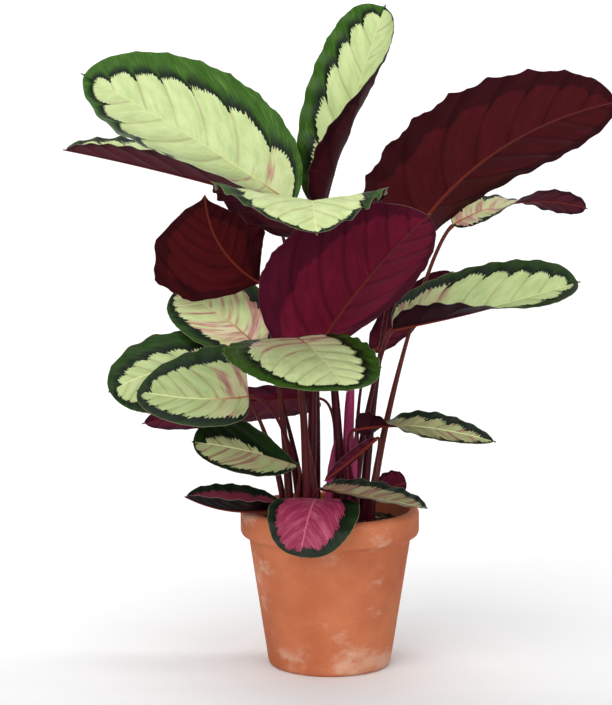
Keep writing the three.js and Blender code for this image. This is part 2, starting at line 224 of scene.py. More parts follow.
def mixed(share, first, second, kind="MIX"):
    node = tree.nodes.new("ShaderNodeMix")
    node.data_type = "RGBA"
    node.blend_type = kind
    node.clamp_factor = True
    plug(node.inputs["Factor"], share)
    plug(node.inputs[6], first)
    plug(node.inputs[7], second)
    return node.outputs[2]


def layered(colour, *layers):
    # each layer is a share and the colour that covers the ones below by that share
    for share, cover in layers:
        colour = mixed(share, colour, cover)
    return colour


def tinted(colour, tint):
    return mixed(1.0, colour, tint, "MULTIPLY")


def joined(x, y, z=0.0):
    node = tree.nodes.new("ShaderNodeCombineXYZ")
    for socket, value in zip(node.inputs, (x, y, z)):
        plug(socket, value)
    return node.outputs[0]


def parted(vector):
    node = tree.nodes.new("ShaderNodeSeparateXYZ")
    plug(node.inputs[0], vector)
    return node.outputs


def noise(vector, scale, detail=2.0, roughness=0.5):
    node = tree.nodes.new("ShaderNodeTexNoise")
    for key, value in (("Vector", vector), ("Scale", scale), ("Detail", detail), ("Roughness", roughness)):
        plug(node.inputs[key], value)
    return node.outputs["Fac"]


def mapped(name):
    # the two numbers of a piece's map
    node = tree.nodes.new("ShaderNodeUVMap")
    node.uv_map = name
    return parted(node.outputs[0])[:2]


def attribute(name):
    node = tree.nodes.new("ShaderNodeAttribute")
    node.attribute_name = name
    return node.outputs["Color"]


def place():
    return tree.nodes.new("ShaderNodeTexCoord").outputs["Object"]


def dress(shader, colour, roughness, relief, depth, strength):
    # gives a finish its colour, its roughness, and its relief as a bump
    plug(shader.inputs["Base Color"], colour)
    plug(shader.inputs["Roughness"], roughness)
    bump = tree.nodes.new("ShaderNodeBump")
    plug(bump.inputs["Height"], relief)
    bump.inputs["Distance"].default_value = depth
    bump.inputs["Strength"].default_value = strength
    tree.links.new(bump.outputs[0], shader.inputs["Normal"])


# the leaves: shapes in millimetres, as the part's own

leafForm = {
    "ribHalfWidth": 2.2, "ribDepth": 3.4, "ribTip": 1.1, "ribTaper": 0.7,
    "thickness": 0.6, "marginThickness": 0.35,
    "bodyEnd": 0.985, "pointFrom": 0.9, "pointSlope": 1.3,
    "fineRuffle": 0.25, "serration": 0.003,
    "largeFrom": 130,  # the length from which a blade counts as large
    "large": dict(waves=20, steps=140, across=38),
    "small": dict(waves=12, steps=84, across=26),
    "crowding": 1.35,  # how far the points crowd towards the midrib
    "sideVeins": 7, "veinSlopeBase": 0.35, "veinSlopeTip": 1.15,
    "quilt": 0.055,  # how far the blade swells between two side veins, as a share of their spacing
    "grooveDepth": 0.35, "grooveWidth": 1.1,  # along the midrib, on the upper side
}

stalkForm = {
    "topRadius": 2.1, "swell": 2.4, "swellLength": 0.06,
    "sheathRadius": 4.3, "sheathFrom": 0.15, "sheathEnd": 0.6, "gap": 0.3, "buried": 6,
    "foldDepth": 0.16, "foldFrom": 0.3, "foldEnd": 0.45, "foldWidth": 0.35,
    "sides": 16, "rings": 56,
}

soilTop = 146

# Where each leaf stands in the soil, its midrib from base through middle to tip, the way its upper
# side looks, and its left and right halves: width, where it is widest, fold and curl at base and tip.
# full is how pointed its base and tip are, ruffle how far the margin's points stand out on each half,
# and wave how high the margin waves. The stalk rises straight by rise, meets the blade along bend, and
# is as thick and as tan as stout and tan say.
# Its looks: band is the green border's width on each half and the share of it left at the tip, blush
# how pink it is at base and tip, freshAndLit how bright its green is and, when low, how much painted
# shade darkens its cream, dull how faded its cream is, and under the colour of its lower side.
wine = (94, 18, 40)
plum = (72, 20, 32)
russet = (64, 15, 20)
# what most leaves have, unless their own line says otherwise
commonLeaf = dict(tan=0.0, dull=0.0, under=plum)
leaves = [{**commonLeaf, **own} for own in [
    dict(name="high_left", root=(-14, 12),
         base=(-37, 40, 462), middle=(-137, 26, 530), tip=(-246, 0, 594),
         face=((0.15, -1, 0.2), (0.1, -1, 0.1)),
         left=(62, 0.5, -36, -12, -130, -60), right=(75, 0.46, 2, 2, -4, -8),
         full=(0.58, 0.58), ruffle=(0.012, 0.012), wave=1.2, bend=30, rise=150, stout=1.1,
         band=(20, 28, 0.95), blush=(0.5, 0.06), freshAndLit=1.0, under=(84, 34, 46)),
    dict(name="side_left", root=(-24, 22),
         base=(-69, 82, 469), middle=(-178, 133, 494), tip=(-280, 143, 515),
         face=((0.1, 0, 1), (0, 0, 1)),
         left=(41, 0.5, 30, 28, 8, 0), right=(46, 0.5, 34, 36, 0, 0),
         full=(0.55, 0.55), ruffle=(0.02, 0.03), wave=1.4, bend=35, rise=160, stout=0.85,
         band=(9, 9, 0.85), blush=(0.3, 0.05), freshAndLit=0.8, dull=0.1, under=(76, 26, 36)),
    dict(name="top_upright", root=(11, 0),
         base=(-8, 66, 455), middle=(24, 70, 564), tip=(56, 60, 663),
         face=((-0.6, -0.8, 0), (-0.3, -0.95, 0.1)),
         left=(52, 0.5, 10, 5, 10, 0), right=(62, 0.45, 40, 14, 110, 60),
         full=(0.5, 0.34), ruffle=(0.008, 0.04), wave=1.6, bend=40, rise=150, stout=1.15,
         band=(20, 10, 1.0), blush=(0.0, 0.0), freshAndLit=0.9, under=(56, 13, 22)),
    dict(name="top_front", root=(-19, -2),
         base=(-14, -4, 428), middle=(-18, -118, 475), tip=(-14, -192, 448),
         face=((0, 0.35, 1), (0.05, -0.4, 1)),
         left=(72, 0.46, 9, 9, 0, 0), right=(96, 0.44, 7, 7, 0, 0),
         full=(0.5, 0.6), ruffle=(0.03, 0.02), wave=5.0, bend=40, rise=150, stout=1.1,
         band=(26, 27, 0.3), blush=(0.1, 0.0), freshAndLit=0.5, dull=0.15),
    dict(name="centre_raised", root=(-15, -17),
         base=(-27, -16, 300), middle=(30, -68, 391), tip=(93, -112, 462),
         face=((0.24, 0.9, 0.32), (0.24, 0.9, 0.32)),
         left=(58, 0.55, 38, 38, 10, 10), right=(88, 0.35, 2, 2, 0, 4),
         full=(1.1, 0.68), ruffle=(0.008, 0.01), wave=1.2, bend=25, rise=60, stout=1.15, tan=0.7,
         band=(14, 34, 0.5), blush=(0.4, 0.1), freshAndLit=0.6, under=wine),
    dict(name="left_raised", root=(-40, -11),
         base=(-69, 24, 384), middle=(-109, 12, 422), tip=(-124, -6, 475),
         face=((-0.11, 0.92, 0.21), (-0.11, 0.92, 0.21)),
         left=(50, 0.46, 6, 14, 4, 6), right=(76, 0.5, 4, 14, 2, 10),
         full=(1.4, 1.3), ruffle=(0.03, 0.045), wave=1.4, bend=12, rise=40, stout=1.05, tan=0.35,
         band=(24, 17, 0.85), blush=(0.5, 0.2), freshAndLit=0.5, dull=0.1, under=(66, 12, 16)),
    dict(name="high_right", root=(34, 8),
         base=(71, 34, 413), middle=(160, 6, 514), tip=(282, -24, 567),
         face=((0.16, 0.95, 0.12), (0.16, 0.95, 0.12)),
         left=(58, 0.55, 58, 34, 8, 6), right=(76, 0.32, 2, 2, 0, 4),
         full=(0.42, 0.5), ruffle=(0.008, 0.032), wave=1.8, bend=20, rise=60, stout=1.1,
         band=(14, 23, 0.7), blush=(0.3, 0.05), freshAndLit=0.7, under=russet),
    dict(name="right_twisted", root=(42, 13),
         base=(126, 60, 441), middle=(194, 70, 464), tip=(264, 66, 457),
         face=((0, -1.0, 0.8), (0.05, 1.15, 0.7)),
         left=(23, 0.45, 6, 4, 6, 2), right=(21, 0.45, 6, 4, 6, 2),
         full=(0.5, 0.4), ruffle=(0.03, 0.03), wave=1.2, bend=30, rise=60, stout=0.95, tan=0.45,
         band=(6, 6, 0.85), blush=(0.8, 0.5), freshAndLit=0.4, dull=0.1, under=(72, 28, 38)),
    dict(name="right_cupped", root=(24, 4),
         base=(62, -10, 342), middle=(152, -4, 361), tip=(250, 4, 388),
         face=((-0.1, -0.6, 0.8), (-0.15, -0.7, 0.7)),
         left=(53, 0.5, 8, 8, 4, 0), right=(35, 0.46, 80, 14, 14, 0),
         full=(0.36, 0.42), ruffle=(0.008, 0.03), wave=1.2, bend=10, rise=60, stout=1.05,
         band=(12, 8, 1.5), blush=(0.75, 0.1), freshAndLit=0.26, under=(36, 9, 15)),
    dict(name="mid_left", root=(-26, 8),
         base=(-70, 20, 318), middle=(-115, 50, 352), tip=(-160, 80, 372),
         face=((0.1, -0.75, 0.65), (0.1, -0.8, 0.6)),
         left=(46, 0.46, 8, 8, 0, 0), right=(50, 0.46, 8, 8, 0, 0),
         full=(0.5, 0.45), ruffle=(0.008, 0.008), wave=1.1, bend=25, rise=40, stout=0.85,
         band=(14, 15, 0.85), blush=(0.8, 0.5), freshAndLit=0.55),
    dict(name="centre_front", root=(-23, -26),
         base=(-32, -44, 337), middle=(-9, -128, 327), tip=(14, -200, 306),
         face=((0, -0.2, 1), (0.05, -0.5, 0.85)),
         left=(52, 0.46, 10, 6, -8, -16), right=(92, 0.48, 5, 8, -2, -2),
         full=(0.4, 0.34), ruffle=(0.01, 0.014), wave=1.1, bend=12, rise=110, stout=1.1, tan=0.15,
         band=(21, 27, 0.85), blush=(0.7, 0.1), freshAndLit=0.6),
    dict(name="low_left_back", root=(-46, 2),
         base=(-115, 10, 306), middle=(-170, 10, 298), tip=(-223, 6, 276),
         face=((0.1, -0.65, 0.75), (-0.1, -0.7, 0.7)),
         left=(56, 0.48, 4, 4, -4, -4), right=(45, 0.44, 6, 6, -6, -6),
         full=(0.5, 0.48), ruffle=(0.016, 0.018), wave=1.1, bend=25, rise=60, stout=0.8, tan=0.4,
         band=(16, 25, 0.85), blush=(0.3, 0.02), freshAndLit=0.3),
    dict(name="low_left_front", root=(-31, -10),
         base=(-80, -50, 280), middle=(-133, -44, 277), tip=(-192, -30, 283),
         face=((0.1, -0.65, 0.75), (0, -0.7, 0.7)),
         left=(38, 0.36, 8, 8, -8, -8), right=(67, 0.32, 6, 6, -4, -6),
         full=(0.34, 0.45), ruffle=(0.01, 0.01), wave=0.9, bend=25, rise=72, stout=0.85,
         band=(12, 22, 0.85), blush=(0.7, 0.15), freshAndLit=0.16),
    dict(name="low_left_edge", root=(6, 30),
         base=(-12, 42, 266), middle=(-103, 70, 255), tip=(-195, 84, 232),
         face=((0, 0.7, 0.7), (0, 0.6, 0.8)),
         left=(24, 0.5, 4, 4, 0, 0), right=(44, 0.6, 4, 4, 0, 0),
         full=(0.2, 0.5), ruffle=(0.015, 0.015), wave=1.0, bend=24, rise=70, stout=0.72, tan=1.0,
         band=(12, 12, 0.85), blush=(0.4, 0.1), freshAndLit=0.4, dull=0.1, under=(92, 18, 44)),
    dict(name="basal_left", root=(-35, -24),
         base=(-32, -34, 209), middle=(-84, -48, 226), tip=(-136, -56, 236),
         face=((0, -0.6, 0.8), (0, -0.65, 0.75)),
         left=(36, 0.5, 8, 8, 0, 0), right=(35, 0.6, 8, 8, 0, -6),
         full=(0.8, 0.45), ruffle=(0.012, 0.014), wave=0.9, bend=8, rise=30, stout=0.75, tan=0.3,
         band=(7, 26, 0.85), blush=(0.62, 0.55), freshAndLit=0.08, dull=0.15),
    dict(name="ground_left", root=(-44, -28),
         base=(-47, -38, 169), middle=(-96, -52, 167), tip=(-143, -58, 182),
         face=((0, -0.05, 1), (0, -0.05, 1)),
         left=(28, 0.5, 32, 32, 4, 4), right=(34, 0.5, 40, 34, 2, 0),
         full=(0.5, 0.5), ruffle=(0.01, 0.014), wave=0.9, bend=8, rise=10, stout=0.72,
         band=(4, 11, 0.85), blush=(1.0, 1.0), freshAndLit=0.02, dull=0.8, under=(9, 2, 4)),
    dict(name="rim_front", root=(-12, -38),
         base=(-12, -47, 177), middle=(-20, -88, 173), tip=(-30, -114, 132),
         face=((-0.05, -0.3, 0.95), (-0.1, -0.9, 0.35)),
         left=(48, 0.47, 4, 4, -8, -8), right=(41, 0.52, 4, 4, -8, -8),
         full=(0.5, 0.36), ruffle=(0.006, 0.008), wave=0.7, bend=8, rise=14, stout=0.75,
         band=(16, 10, 0.85), blush=(1.0, 1.0), freshAndLit=0.05),
    dict(name="low_right_twisted", root=(27, -22),
         base=(26, -38, 246), middle=(84, -48, 250), tip=(162, -58, 236),
         face=((0, 0.35, 0.1), (-0.1, -0.75, 0.7)),
         left=(20, 0.45, 12, 12, 6, 6), right=(22, 0.45, 12, 12, 6, 6),
         full=(0.36, 0.6), ruffle=(0.03, 0.03), wave=1.2, bend=20, rise=40, stout=0.8,
         band=(9, 4, 0.85), blush=(0.8, 0.62), freshAndLit=0.1, dull=0.3, under=(52, 16, 26)),
    dict(name="ground_right", root=(-20, -41),
         base=(-8, -43, 188), middle=(44, -57, 180), tip=(95, -66, 172),
         face=((0.1, -0.1, 1), (0, -0.1, 1)),
         left=(28, 0.5, 20, 14, 4, 4), right=(26, 0.5, 12, 10, 4, 4),
         full=(0.5, 0.5), ruffle=(0.03, 0.03), wave=1.1, bend=8, rise=26, stout=0.72,
         band=(11, 4, 0.85), blush=(0.88, 0.8), freshAndLit=0.05, dull=0.35),
    dict(name="ground_right_back", root=(40, 30),
         base=(46, 27, 165), middle=(61, 30, 174), tip=(79, 30, 179),
         face=((0, 0.9, 0.3), (0, 0.9, 0.3)),
         left=(15, 0.5, 10, 10, 4, 4), right=(17, 0.6, 10, 10, 4, 4),
         full=(0.4, 0.36), ruffle=(0.03, 0.03), wave=0.9, bend=6, rise=6, stout=0.6,
         band=(4, 4, 0.85), blush=(0.7, 0.5), freshAndLit=0.2, dull=0.3, under=(92, 26, 46)),
    dict(name="mid_right_back", root=(26, 29),
         base=(44, 66, 310), middle=(82, 68, 347), tip=(127, 66, 393),
         face=((-0.2, 0.85, 0.3), (-0.2, 0.85, 0.3)),
         left=(20, 0.5, 14, 14, 4, 4), right=(24, 0.5, 14, 14, 4, 4),
         full=(0.5, 0.5), ruffle=(0.02, 0.02), wave=1.1, bend=20, rise=80, stout=0.75,
         band=(7, 7, 0.85), blush=(0.5, 0.2), freshAndLit=0.3, dull=0.2, under=(84, 24, 40)),
    dict(name="narrow_bract", root=(38, -26),
         base=(44, -36, 236), middle=(20, -46, 216), tip=(-6, -52, 196),
         face=((0.3, 0.6, 0.6), (0.3, 0.6, 0.6)),
         left=(8, 0.5, 20, 20, 6, 6), right=(8, 0.5, 20, 20, 6, 6),
         full=(0.55, 0.6), ruffle=(0.01, 0.01), wave=0.4, bend=14, rise=40, stout=0.6,
         band=(3, 3, 0.85), blush=(0.9, 0.9), freshAndLit=0.1, dull=0.5, under=(80, 22, 38)),
]]


def midrib(leaf, u):
    base, middle, tip = (np.array(leaf[key], float) for key in ("base", "middle", "tip"))
    handle = 2 * middle - (base + tip) / 2
    u = u[:, None]
    at = (1 - u) ** 2 * base + 2 * u * (1 - u) * handle + u ** 2 * tip
    along = unit((1 - u) * (handle - base) + u * (tip - handle))
    first, last = (np.array(way, float) for way in leaf["face"])
    up = first + (last - first) * u
    up = unit(up - np.sum(up * along, axis=1, keepdims=True) * along)
    return at, along, up, np.cross(along, up)


def midribLength(leaf):
    at = midrib(leaf, np.linspace(0, 1, 200))[0]
    return float(np.linalg.norm(np.diff(at, axis=0), axis=1).sum())


def outline(u, widest, full):
    s = np.minimum(1, u / leafForm["bodyEnd"]) ** (math.log(0.5) / np.log(widest))
    power = np.where(s < 0.5, full[0], full[1])
    body = np.maximum(4 * s * (1 - s), 0) ** power
    point = np.where(u > leafForm["pointFrom"], leafForm["pointSlope"] * (1 - u), 0)
    return np.maximum(body, point)


def bladeSurface(leaf):
    # the upper and lower points of a blade, row by row, with what its finish needs to know
    form = leafForm
    length = midribLength(leaf)
    waves, steps, across = form["large" if length > form["largeFrom"] else "small"].values()
    t = np.linspace(0, 1, steps + 1)
    u = (t + (1 - np.cos(math.pi * t)) / 2) / 2
    at, _, up, right = (values[:, None, :] for values in midrib(leaf, u))
    shares = (np.arange(across + 1) / across) ** form["crowding"]
    side = np.concatenate([-np.ones(across), np.ones(across + 1)])[None, :]
    share = np.concatenate([shares[:0:-1], shares])[None, :]
    u, t = u[:, None], t[:, None]

    def halves(left, right):
        return np.where(side < 0, left, right)

    width, widest, foldBase, foldTip, curlBase, curlTip = map(halves, leaf["left"], leaf["right"])
    keel = form["ribHalfWidth"] * (1 - form["ribTaper"] * u)
    points = 1 - 2 * np.abs(np.sin(math.pi * t * waves / 2))
    smallPoints = 1 - 2 * np.abs(np.sin(math.pi * (t * waves * 1.15 + 0.5 * np.sin(11 * t + 2 * side))))
    ruffle = halves(*leaf["ruffle"])
    ruffle = ruffle * points + (form["fineRuffle"] * ruffle + form["serration"]) * smallPoints
    reach = np.maximum(width * outline(u, widest, leaf["full"]) * (1 + ruffle), keel)
    turn = smooth(0, 1, u)
    fold = np.radians(foldBase + (foldTip - foldBase) * turn)
    curl = np.radians(curlBase + (curlTip - curlBase) * turn)
    curl = np.where(np.abs(curl) < 1e-5, 1e-5, curl)
    angle = np.where(share > 0, fold + curl * share, 0)
    out = reach * (np.sin(fold + curl * share) - np.sin(fold)) / curl
    lift = reach * (np.cos(fold) - np.cos(fold + curl * share)) / curl
    normal = up * np.cos(angle)[..., None] - right * (side * np.sin(angle))[..., None]

    # the side veins leave the midrib at a slant, more upright near the base
    distance = reach * share
    spacing = length / form["sideVeins"]
    slope = form["veinSlopeBase"] + (form["veinSlopeTip"] - form["veinSlopeBase"]) * smooth(0, 0.75, u)
    bow = 0.8 + 0.35 * distance / width
    vein = (u * length - distance * slope * bow) / spacing + halves(0.5, 0)

    # the blade swells between them, and its margin waves up and down
    body = np.sin(math.pi * u) ** 0.5
    uneven = 0.8 + 0.35 * np.sin(5.3 * t + 1.7 * side + leaf["tip"][0])
    pillow = form["quilt"] * spacing * (np.abs(np.sin(math.pi * vein)) ** 0.8 - 0.64)
    pillow = pillow * body * smooth(0, 7, distance) * (1 - 0.7 * share ** 3)
    groove = form["grooveDepth"] * np.exp(-(distance / form["grooveWidth"]) ** 2) * (1 - u)
    raised = leaf["wave"] * uneven * body * np.cos(math.pi * t * waves) * share ** 3 + pillow - groove
    top = at + right * (side * out)[..., None] + up * lift[..., None] + normal * raised[..., None]
    skin = form["thickness"] + (form["marginThickness"] - form["thickness"]) * share ** 3
    ribDepth = form["ribDepth"] + (form["ribTip"] - form["ribDepth"]) * u ** 0.6
    rib = np.maximum(0, 1 - (distance / keel) ** 2)
    depth = skin + (ribDepth - skin) * rib * (0.45 + 0.55 * rib)
    under = top - normal * depth[..., None]

    # lengths in centimetres, shares as they are
    edge = np.minimum(reach - distance, 1.5 * (1 - u) * length)
    left, right, tipShare = leaf["band"]
    band = halves(left, right) * np.minimum(1, 0.4 + 2.4 * u) * (1 - (1 - tipShare) * smooth(0.45, 0.9, u))
    first, last = leaf["blush"]
    facts = dict(vein=vein, across=side * distance / 10, along=u * length / 10, edge=edge / 10,
                 border=(edge - band) / 10, spacing=spacing / 10,
                 blush=first + (last - first) * smooth(0, 0.7, u), freshAndLit=leaf["freshAndLit"], dull=leaf["dull"])
    return top, under, {name: np.broadcast_to(values, reach.shape) for name, values in facts.items()}


def makeBlade(leaf, number):
    top, under, facts = bladeSurface(leaf)
    count = top.shape[0] * top.shape[1]
    index = np.arange(count).reshape(top.shape[:2])
    a, b, c, d = index[:-1, :-1], index[:-1, 1:], index[1:, 1:], index[1:, :-1]
    upper = np.stack([a, b, c, d], axis=-1).reshape(-1, 4)
    lower = np.stack([a, d, c, b], axis=-1).reshape(-1, 4) + count

    def rim(line):
        one, two = line[:-1], line[1:]
        return np.stack([two, one, one + count, two + count], axis=-1)

    rims = np.concatenate([rim(index[0]), rim(index[-1][::-1]), rim(index[::-1, 0]), rim(index[:, -1])])
    faces = np.concatenate([upper, lower, rims]).tolist()
    kinds = [0] * len(upper) + [1] * len(lower) + [0] * len(rims)
    points = np.concatenate([top.reshape(-1, 3), under.reshape(-1, 3)])
    piece = makePiece(leaf["name"] + "_leaf", points, faces, [upperSide, lowerSide], kinds, sharp=60)

    def twice(*names):
        values = np.stack([facts[name].ravel() for name in names], axis=-1)
        return np.concatenate([values, values])

    # each leaf has its own run of numbers for its veins, so no two have the same noise
    facts["vein"] = facts["vein"] + 20 * number + 10
    addMap(piece, "veins", twice("vein", "across"))
    addMap(piece, "borders", twice("along", "border"))
    addMap(piece, "margins", twice("edge", "spacing"))
    addColour(piece, "looks", twice("blush", "freshAndLit", "dull"))
    addColour(piece, "underColour", linear(*leaf["under"]))
    standFor(piece, leaf["name"] + "_blade")


# leaf finishes, in centimetres along and across the blade

upperColours = palette(
    # the deeper cream is the cream's own deeper tone and also painted shade beside the side veins
    cream=(200, 214, 155), creamDeep=(170, 190, 122), creamPale=(214, 222, 182),
    # the valley colour is a pinkish tint with painted shade, for the grooves along the side veins
    valley=(176, 158, 130), blush=(224, 192, 172), pink=(196, 128, 128), pinkDeep=(160, 78, 92),
    magenta=(138, 34, 70), magentaPale=(196, 98, 122), magentaSilver=(208, 138, 148),
    magentaDull=(98, 34, 48), faded=(130, 122, 74),
    midribRed=(160, 70, 50), midribPale=(216, 222, 156), rim=(150, 136, 112),
    deepest=(8, 22, 10), green=(15, 32, 11), freshGreen=(48, 86, 20),
    paleGreen=(32, 54, 22), freshPale=(96, 140, 46))
lowerColours = palette(zone=(192, 208, 216), deep=(190, 165, 165), rim=(126, 84, 92),
                       midribBase=(112, 42, 30), midribTip=(92, 38, 32))
# painted shade: a darkening tint for the cream of the lowest leaves, which the leaves above shade
paintedShadeTint = (0.52, 0.56, 0.46)  # of the cream of the lowest leaves
brightTint = (1.35, 1.2, 1.3)  # of the patches of the lower side
lobeForm = [(0.0, 0.0), (0.1, 0.36), (0.25, 0.85), (0.42, 1.0), (0.7, 0.9), (0.9, 0.72), (0.985, 0.6),
            (1.0, 0.05)]


def lobedBorder(vein, border, spacing, share):
    # how far inside the cream a spot lies: its edge has a lobe for each side vein, steep on the tip's side
    lobe = ramp(sums("FRACT", vein), lobeForm)
    uneven = noise(joined(times(sums("FLOOR", vein), 3.7), 0.5), 1.0, 0.0)
    size = times(times(plus(uneven, 0.4), share), spacing)
    return plus(border, times(minus(lobe, 0.72), size))


def leafPlaces():
    # what the finishes need to know of a spot, and noise drawn out along its side veins
    vein, across = mapped("veins")
    along, border = mapped("borders")
    edge, spacing = mapped("margins")
    fine = times(vein, spacing)
    part = sums("FRACT", vein)
    fromVein = times(sums("MINIMUM", part, minus(1.0, part)), spacing)

    def drawn(perCentimetre, lengthwise, seed, detail=2.0, roughness=0.5):
        vector = joined(times(fine, perCentimetre), times(across, lengthwise), seed)
        return noise(vector, 1.0, detail, roughness)

    return vein, across, along, border, edge, spacing, fromVein, drawn


def midribShare(across, along, reach, wide, narrow, core):
    # 1 on the midrib and 0 beside it, where it narrows from wide to narrow over its reach
    width = step(along, 0.0, reach, narrow, wide)
    return step(sums("ABSOLUTE", across), times(width, core), width, 0.0, 1.0)


def makeUpperSide():
    colours = upperColours
    material, shader = newMaterial("leafUpperSide", Specular_IOR_Level=0.15)
    vein, across, along, border, edge, spacing, fromVein, drawn = leafPlaces()
    blush, freshAndLit, dull = parted(attribute("looks"))
    hair, streak, patch = drawn(9.0, 0.9, 0.0), drawn(4.0, 0.5, 4.0, 2.5, 0.6), drawn(0.9, 0.7, 7.0)

    # where the cream ends: lobes, and teeth as fine as the small veins
    fine = times(times(vein, spacing), 3.3)
    comb = sums("FRACT", plus(fine, times(patch, 2.5)))
    teeth = plus(times(minus(streak, 0.5), 0.55), times(minus(0.5, comb), 0.3))
    reach = plus(lobedBorder(vein, border, spacing, 0.3), teeth)
    cream = step(reach, -0.02, 0.02)

    # the green border: nearly black beside the cream, then streaked with brighter green
    outward = minus(times(minus(streak, 0.5), 1.1), reach)
    pale = mixed(freshAndLit, colours["paleGreen"], colours["freshPale"])
    green = layered(mixed(freshAndLit, colours["green"], colours["freshGreen"]),
                    (step(hair, 0.45, 0.75, 0.55), pale), (step(patch, 0.55, 0.75, 0.4), pale))
    green = mixed(step(outward, 0.2, 1.35), colours["deepest"], green)

    # the cream: painted shade beside the side veins, where the pillows between them dip, and pink streaks
    # towards the base
    # painted shade: the cream darkens towards each side vein, in the dip between two pillows
    pillow = times(step(fromVein, 0.05, 0.4, 0.0, 0.6), step(patch, 0.3, 0.65, 1.0, 0.2))
    # painted shade with a pinkish tint: lines along the side veins, in the grooves of the cream
    valley = times(step(fromVein, 0.0, 0.25, 0.0, 0.65), step(streak, 0.4, 0.6, 1.0, 0.25))
    wash = times(step(blush, 0.3, 0.8), step(drawn(1.6, 0.3, 12.0), 0.35, 0.65))
    streaks = plus(drawn(1.3, 0.24, 9.0, 2.5, 0.6), step(fromVein, 0.0, 0.4, 0.0, 0.07))
    limit = minus(0.76, times(blush, 0.34))
    pinkness = step(minus(streaks, limit), -0.05, 0.1)
    pink = mixed(step(hair, 0.35, 0.65), colours["pink"], colours["pinkDeep"])
    ground = layered(colours["cream"],
                     (step(patch, 0.35, 0.7, 0.6), colours["creamDeep"]),
                     (step(streak, 0.5, 0.75, 0.4), colours["creamPale"]),
                     (step(hair, 0.5, 0.8, 0.2), colours["creamDeep"]),
                     (pillow, colours["creamDeep"]), (valley, colours["valley"]),
                     (times(wash, 0.75), colours["blush"]),
                     (times(pinkness, 0.75), pink),
                     (times(dull, 0.65), colours["faded"]))
    # painted shade: the cream of the lowest, least fresh leaves is darkened, as the leaves above shade it
    ground = mixed(step(freshAndLit, 0.0, 0.55, 0.0, 0.85), ground, tinted(ground, paintedShadeTint))

    # the lowest leaves are magenta all over their centre
    magenta = layered(colours["magenta"],
                      (step(streaks, 0.42, 0.8, 0.85), colours["magentaPale"]),
                      (step(patch, 0.42, 0.62, 0.0, 0.65), colours["magenta"]),
                      (step(hair, 0.5, 0.75, 0.35), colours["magentaSilver"]),
                      (times(dull, 1.1), colours["magentaDull"]))
    strong = step(blush, 0.9, 0.98)

    # the midrib: red at the base, pale further on
    onRib = midribShare(across, along, 18.0, 0.14, 0.05, 0.4)
    redEnd = plus(2.5, times(blush, 9.0))
    ribColour = mixed(step(along, 0.6, redEnd), colours["midribRed"], colours["midribPale"])
    ribColour = mixed(strong, ribColour, colours["magentaPale"])
    inside = layered(ground, (strong, magenta), (times(onRib, 0.85), ribColour))
    colour = layered(green, (cream, inside), (step(edge, 0.03, 0.07, 0.0, 0.5), colours["rim"]))
    rough = step(plus(hair, times(cream, 0.3)), 0.2, 1.1, 0.6, 0.3)
    relief = plus(times(hair, 0.6), step(fromVein, 0.0, 0.1, 0.5))
    dress(shader, colour, rough, plus(relief, times(onRib, 0.4)), 0.0005, 0.6)
    return material


def makeLowerSide():
    colours = lowerColours
    material, shader = newMaterial("leafLowerSide", Specular_IOR_Level=0.04)
    vein, across, along, border, edge, spacing, fromVein, drawn = leafPlaces()
    own = attribute("underColour")
    hair, streak, patch = drawn(8.0, 0.9, 2.0), drawn(3.0, 0.4, 6.0, 2.5, 0.6), drawn(0.7, 0.5, 3.0, 3.0)

    # the border shows through as a darker zone with a soft edge
    soft = times(minus(streak, 0.5), 0.9)
    reach = plus(lobedBorder(vein, border, spacing, 0.22), soft)
    colour = mixed(step(reach, -0.16, 0.1, 0.0, 1.0), own, tinted(own, colours["zone"]))
    colour = mixed(step(patch, 0.45, 0.7, 0.8), colour, tinted(colour, brightTint))
    deep = tinted(colour, colours["deep"])
    onRib = midribShare(across, along, 22.0, 0.16, 0.06, 0.5)
    ribColour = mixed(step(along, 0.5, 18.0), colours["midribBase"], colours["midribTip"])
    colour = layered(colour,
                     (step(streak, 0.4, 0.75, 0.3), deep),
                     (step(fromVein, 0.0, 0.45, 0.0, 0.55), deep),
                     (times(onRib, 0.85), ribColour),
                     (step(edge, 0.03, 0.07, 0.0, 0.4), colours["rim"]))
    relief = minus(times(hair, 0.3), step(fromVein, 0.0, 0.2, 0.6))
    dress(shader, colour, step(hair, 0.2, 0.9, 0.68, 0.5), relief, 0.0006, 0.5)
    return material


# stalks and rolled young leaves

def tubePiece(name, centres, radii, sides, material, shape, tan=0.0):
    # rings round a line of centres; shape gives a factor on the radius for each ring and angle
    alongs = unit(np.gradient(centres, axis=0))
    across = np.array((1.0, 0.0, 0.0))
    angles = np.linspace(0, 2 * math.pi, sides, endpoint=False)
    count = len(centres)
    points = []
    for k, (centre, along) in enumerate(zip(centres, alongs)):
        across = across - across.dot(along) * along
        across /= np.linalg.norm(across)
        other = np.cross(along, across)
        out = radii[k] * shape(k / (count - 1), angles)
        points.append(centre + np.outer(np.cos(angles) * out, across) + np.outer(np.sin(angles) * out, other))
    faces = []
    for k in range(count - 1):
        for s in range(sides):
            a, b = k * sides + s, k * sides + (s + 1) % sides
            faces.append((a, b, b + sides, a + sides))
    faces.append(tuple(reversed(range(sides))))
    faces.append(tuple(range((count - 1) * sides, count * sides)))
    piece = makePiece(name, np.concatenate(points), faces, [material])
    heights = np.repeat(np.linspace(0, 1, count), sides)
    addMap(piece, "height", np.stack([heights, np.full(count * sides, tan)], axis=-1))
    return piece


